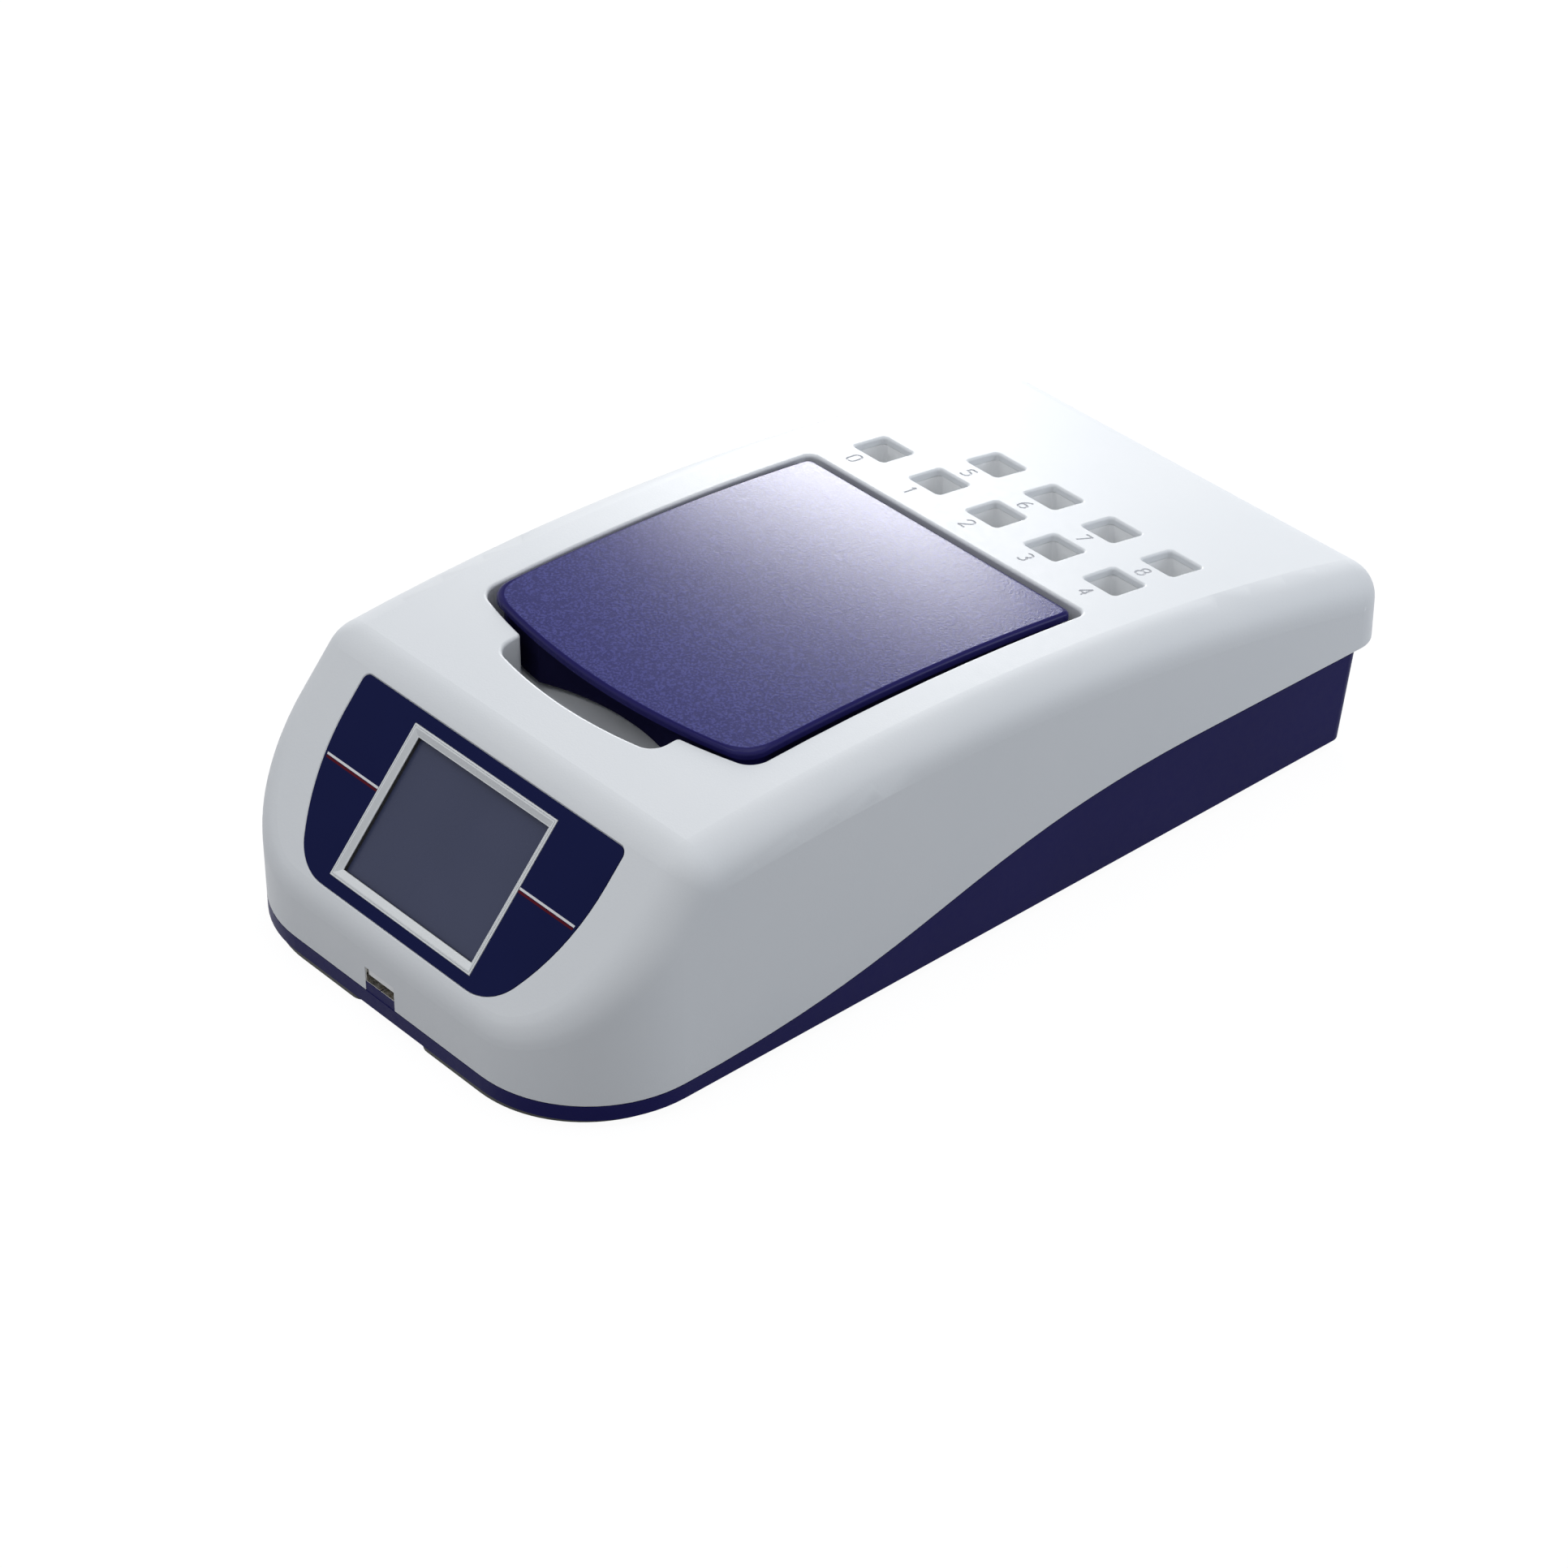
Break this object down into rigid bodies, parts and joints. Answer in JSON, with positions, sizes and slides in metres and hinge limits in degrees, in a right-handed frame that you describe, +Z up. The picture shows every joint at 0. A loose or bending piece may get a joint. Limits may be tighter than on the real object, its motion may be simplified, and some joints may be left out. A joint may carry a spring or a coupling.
{
  "type": "visible spectrophotometer",
  "caption": "Bench spectrophotometer with sloping touch screen, hinged lid over the sample chamber and numbered cuvette wells behind it",
  "frame": {"origin": "on the bench, under the middle of the footprint", "axes": "+X to the right seen from the front, +Y to the back, +Z up"},
  "size_m": [0.1656, 0.322, 0.0823],
  "materials": {
    "white_shell": "fine-textured white moulded plastic",
    "navy_base": "satin navy moulded plastic",
    "blue_lid": "fine-grained blue moulded plastic with smooth edges",
    "navy_overlay": "printed deep navy overlay",
    "pale_frame": "smooth light grey plastic",
    "screen_glass": "dark touch screen under satin glass",
    "board": "green circuit board",
    "black_plastic": "matt black moulded plastic",
    "white_rack": "bright white moulded plastic",
    "grey_plastic": "light grey moulded plastic",
    "connector_metal": "plated connector shell",
    "screw_steel": "zinc plated steel",
    "pin_steel": "ground steel pin",
    "anodised": "black anodised aluminium",
    "bare_aluminium": "milled aluminium",
    "spring_steel": "spring steel",
    "optical_glass": "polished optical glass",
    "ceramic": "white ceramic",
    "foot_rubber": "dark soft rubber",
    "foam": "black foam seal",
    "label": "bare silver grey plate",
    "wire": "insulated wire",
    "ribbon": "flat grey cable",
    "mirror_coat": "aluminised ruled surface"
  },
  "bodies": {
    "case": {"base_tray": "navy_base", "board_components": "black_plastic", "board_screws": "screw_steel", "case_screws": "screw_steel", "chamber_gasket": "foam", "chamber_screws": "screw_steel", "chamber_windows": "optical_glass", "condenser_lens": "optical_glass", "cuvette_holder": "anodised", "cuvette_spring": "spring_steel", "detector_array": "black_plastic", "detector_board": "board", "diffraction_grating": "mirror_coat", "display_board": "board", "display_frame": "pale_frame", "display_module": "black_plastic", "display_overlay": "navy_overlay", "display_seal": "foam", "entrance_slit": "spring_steel", "front_feet": "foot_rubber", "front_usb_board": "board", "front_usb_shell": "connector_metal", "front_usb_tongue": "grey_plastic", "grating_mount": "anodised", "hinge_brackets": "black_plastic", "hinge_pins": "pin_steel", "hinge_screws": "screw_steel", "lamp_base": "ceramic", "lamp_bracket": "bare_aluminium", "lamp_bulb": "optical_glass", "lamp_door": "navy_base", "lamp_door_screw": "screw_steel", "lamp_leads": "wire", "lamp_shield": "bare_aluminium", "lens_mount": "anodised", "lid_buffers": "foot_rubber", "main_board": "board", "optics_plate": "bare_aluminium", "optics_screws": "screw_steel", "power_jack": "black_plastic", "power_leads": "wire", "power_switch_body": "black_plastic", "rack_screws": "screw_steel", "rating_plate": "label", "rear_board": "board", "rear_feet": "foot_rubber", "rear_usb_shell": "connector_metal", "rear_usb_tongue": "grey_plastic", "ribbon_cable": "ribbon", "sample_chamber": "black_plastic", "spectrometer_cover": "anodised", "spectrometer_housing": "anodised", "top_cover": "white_shell", "touch_panel": "screen_glass", "well_rack": "white_rack"},
    "lid": {"lid_liner": "black_plastic", "lid_screws": "screw_steel", "lid_seal": "foam", "lid_shell": "blue_lid"},
    "rocker": {"power_rocker": "black_plastic"}
  },
  "joints": [
    {"name": "lid_hinge", "type": "hinge", "parent": "case", "child": "lid", "pos_m": [0, 0.044, 0.07], "axis": [-1, 0, 0], "range_deg": [0, 90]},
    {"name": "rocker_pivot", "type": "hinge", "parent": "case", "child": "rocker", "pos_m": [0.04, 0.14549, 0.01796], "axis": [1, 0, 0], "range_deg": [0, 16]}
  ]
}
